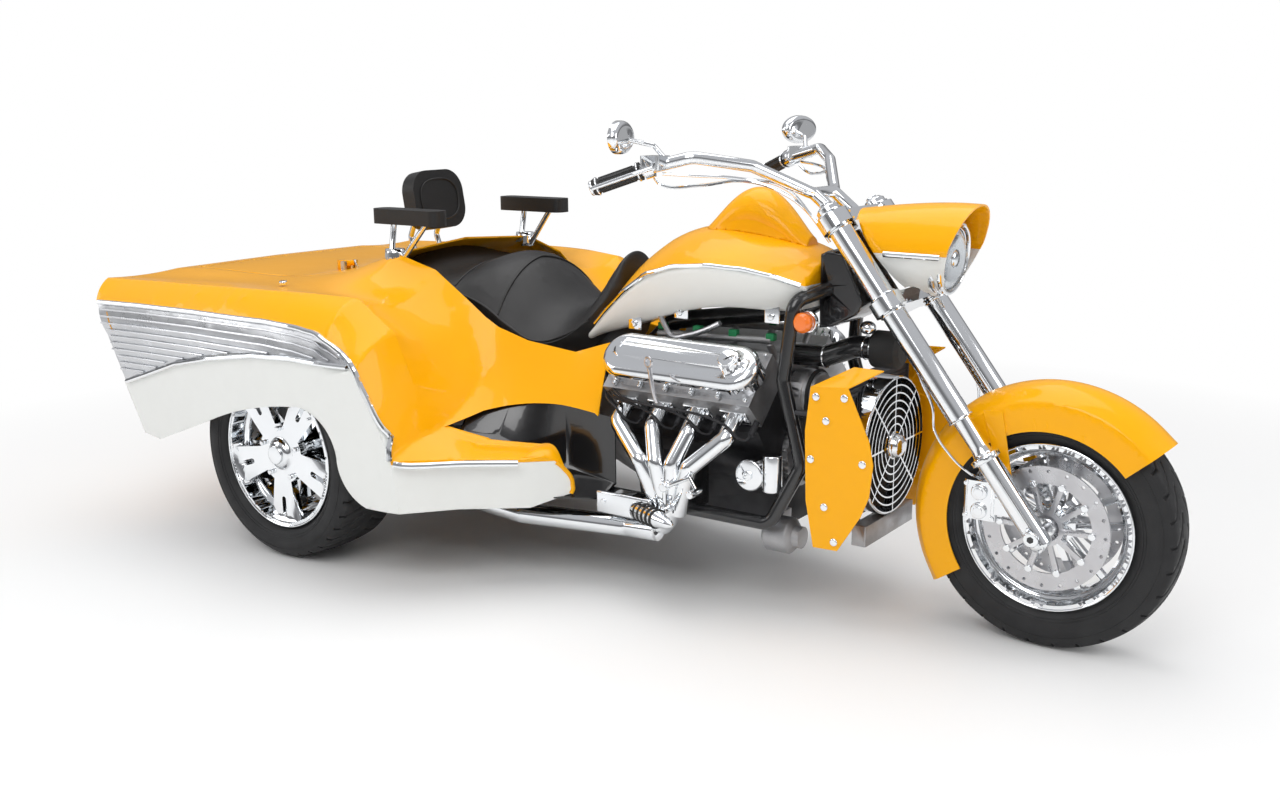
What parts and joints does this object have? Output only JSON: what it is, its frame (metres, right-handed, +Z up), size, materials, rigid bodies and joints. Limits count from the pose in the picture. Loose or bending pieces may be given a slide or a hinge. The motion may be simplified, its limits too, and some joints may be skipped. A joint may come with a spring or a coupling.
{
  "type": "motorized trike",
  "caption": "Motorized trike with a raked steered fork, exposed vee engine, radiator with fan, padded seat and backrest, and a wide moulded rear body with a hinged trunk lid.",
  "frame": {"origin": "on the floor, under the middle of the vehicle's bounding box", "axes": "+X towards the front wheel, +Y to the rider's left, +Z up"},
  "size_m": [3.2328, 1.5708, 1.3149],
  "materials": {
    "tyre_rubber": "matte",
    "chrome": "polished",
    "brake_steel": "machined",
    "frame_black": "gloss",
    "paint_yellow": "gloss",
    "paint_tank": "gloss",
    "paint_white": "gloss",
    "fin_aluminium": "ribbed satin",
    "cast_aluminium": "cast",
    "engine_iron": "painted",
    "leather_black": "grained",
    "grip_rubber": "matte",
    "lamp_clear": "clear",
    "lamp_red": "gloss",
    "lamp_amber": "gloss",
    "liner_black": "gloss",
    "trunk_lining": "matte",
    "fan_black": "matte",
    "radiator_core": "painted black",
    "filter_black": "pleated"
  },
  "bodies": {
    "chassis": {"frame_loops": "frame_black", "frame_backbone": "frame_black", "neck_shroud": "frame_black", "side_lamps": "lamp_amber", "oil_cooler": "cast_aluminium", "rear_axle": "frame_black", "rear_shocks": "chrome", "engine_block": "engine_iron", "cylinder_heads": "cast_aluminium", "valve_covers": "chrome", "intake_manifold": "cast_aluminium", "exhaust_headers": "chrome", "exhaust_pipes": "chrome", "transmission": "cast_aluminium", "accessory_drive": "cast_aluminium", "radiator": "radiator_core", "fan_guard": "chrome", "radiator_covers": "paint_tank", "fin_panels": "fin_aluminium", "lower_panels": "paint_white", "body_shell": "paint_yellow", "rear_panel": "paint_yellow", "trunk_tub": "trunk_lining", "lid_hinges": "brake_steel", "footwell_liners": "liner_black", "seat": "leather_black", "fuel_tank": "paint_tank", "console": "paint_tank", "backrest": "leather_black", "backrest_stay": "chrome", "armrest_pads": "leather_black", "armrest_stays": "chrome", "rear_bumper": "chrome", "tail_lamps": "lamp_red", "plate_bracket": "frame_black", "air_filter": "filter_black", "air_tube": "frame_black", "foot_pegs": "chrome"},
    "steering": {"fork_legs": "chrome", "front_axle": "brake_steel", "lower_clamp": "chrome", "upper_clamp": "chrome", "front_fender": "paint_tank", "handlebar": "chrome", "hand_grips": "grip_rubber", "hand_controls": "chrome", "mirrors": "chrome", "headlamp_nacelle": "chrome", "headlamp": "lamp_clear", "brake_calipers": "chrome"},
    "front_wheel": {"front_tyre": "tyre_rubber", "front_rim": "chrome", "front_brake_discs": "brake_steel"},
    "rear_wheel_right": {"rear_tyre_right": "tyre_rubber", "rear_rim_right": "chrome"},
    "rear_wheel_left": {"rear_tyre_left": "tyre_rubber", "rear_rim_left": "chrome"},
    "trunk_lid": {"trunk_lid": "paint_yellow"},
    "radiator_fan": {"fan": "fan_black"}
  },
  "joints": [
    {"name": "steering_turn", "type": "hinge", "parent": "chassis", "child": "steering", "pos_m": [0.84819, 0, 0.82465], "axis": [-0.6074, 0, 0.7944], "range_deg": [-28, 28]},
    {"name": "front_wheel_spin", "type": "hinge", "parent": "steering", "child": "front_wheel", "pos_m": [1.2985, 0, 0.318], "axis": [0, 1, 0], "continuous": true},
    {"name": "rear_wheel_right_spin", "type": "hinge", "parent": "chassis", "child": "rear_wheel_right", "pos_m": [-0.8515, -0.575, 0.325], "axis": [0, 1, 0], "continuous": true},
    {"name": "rear_wheel_left_spin", "type": "hinge", "parent": "chassis", "child": "rear_wheel_left", "pos_m": [-0.8515, 0.575, 0.325], "axis": [0, 1, 0], "continuous": true},
    {"name": "trunk_lid_hinge", "type": "hinge", "parent": "chassis", "child": "trunk_lid", "pos_m": [-0.9665, 0, 0.856], "axis": [0, 1, 0], "range_deg": [0, 70]},
    {"name": "fan_spin", "type": "hinge", "parent": "chassis", "child": "radiator_fan", "pos_m": [0.8245, 0, 0.454], "axis": [1, 0, 0], "continuous": true}
  ]
}
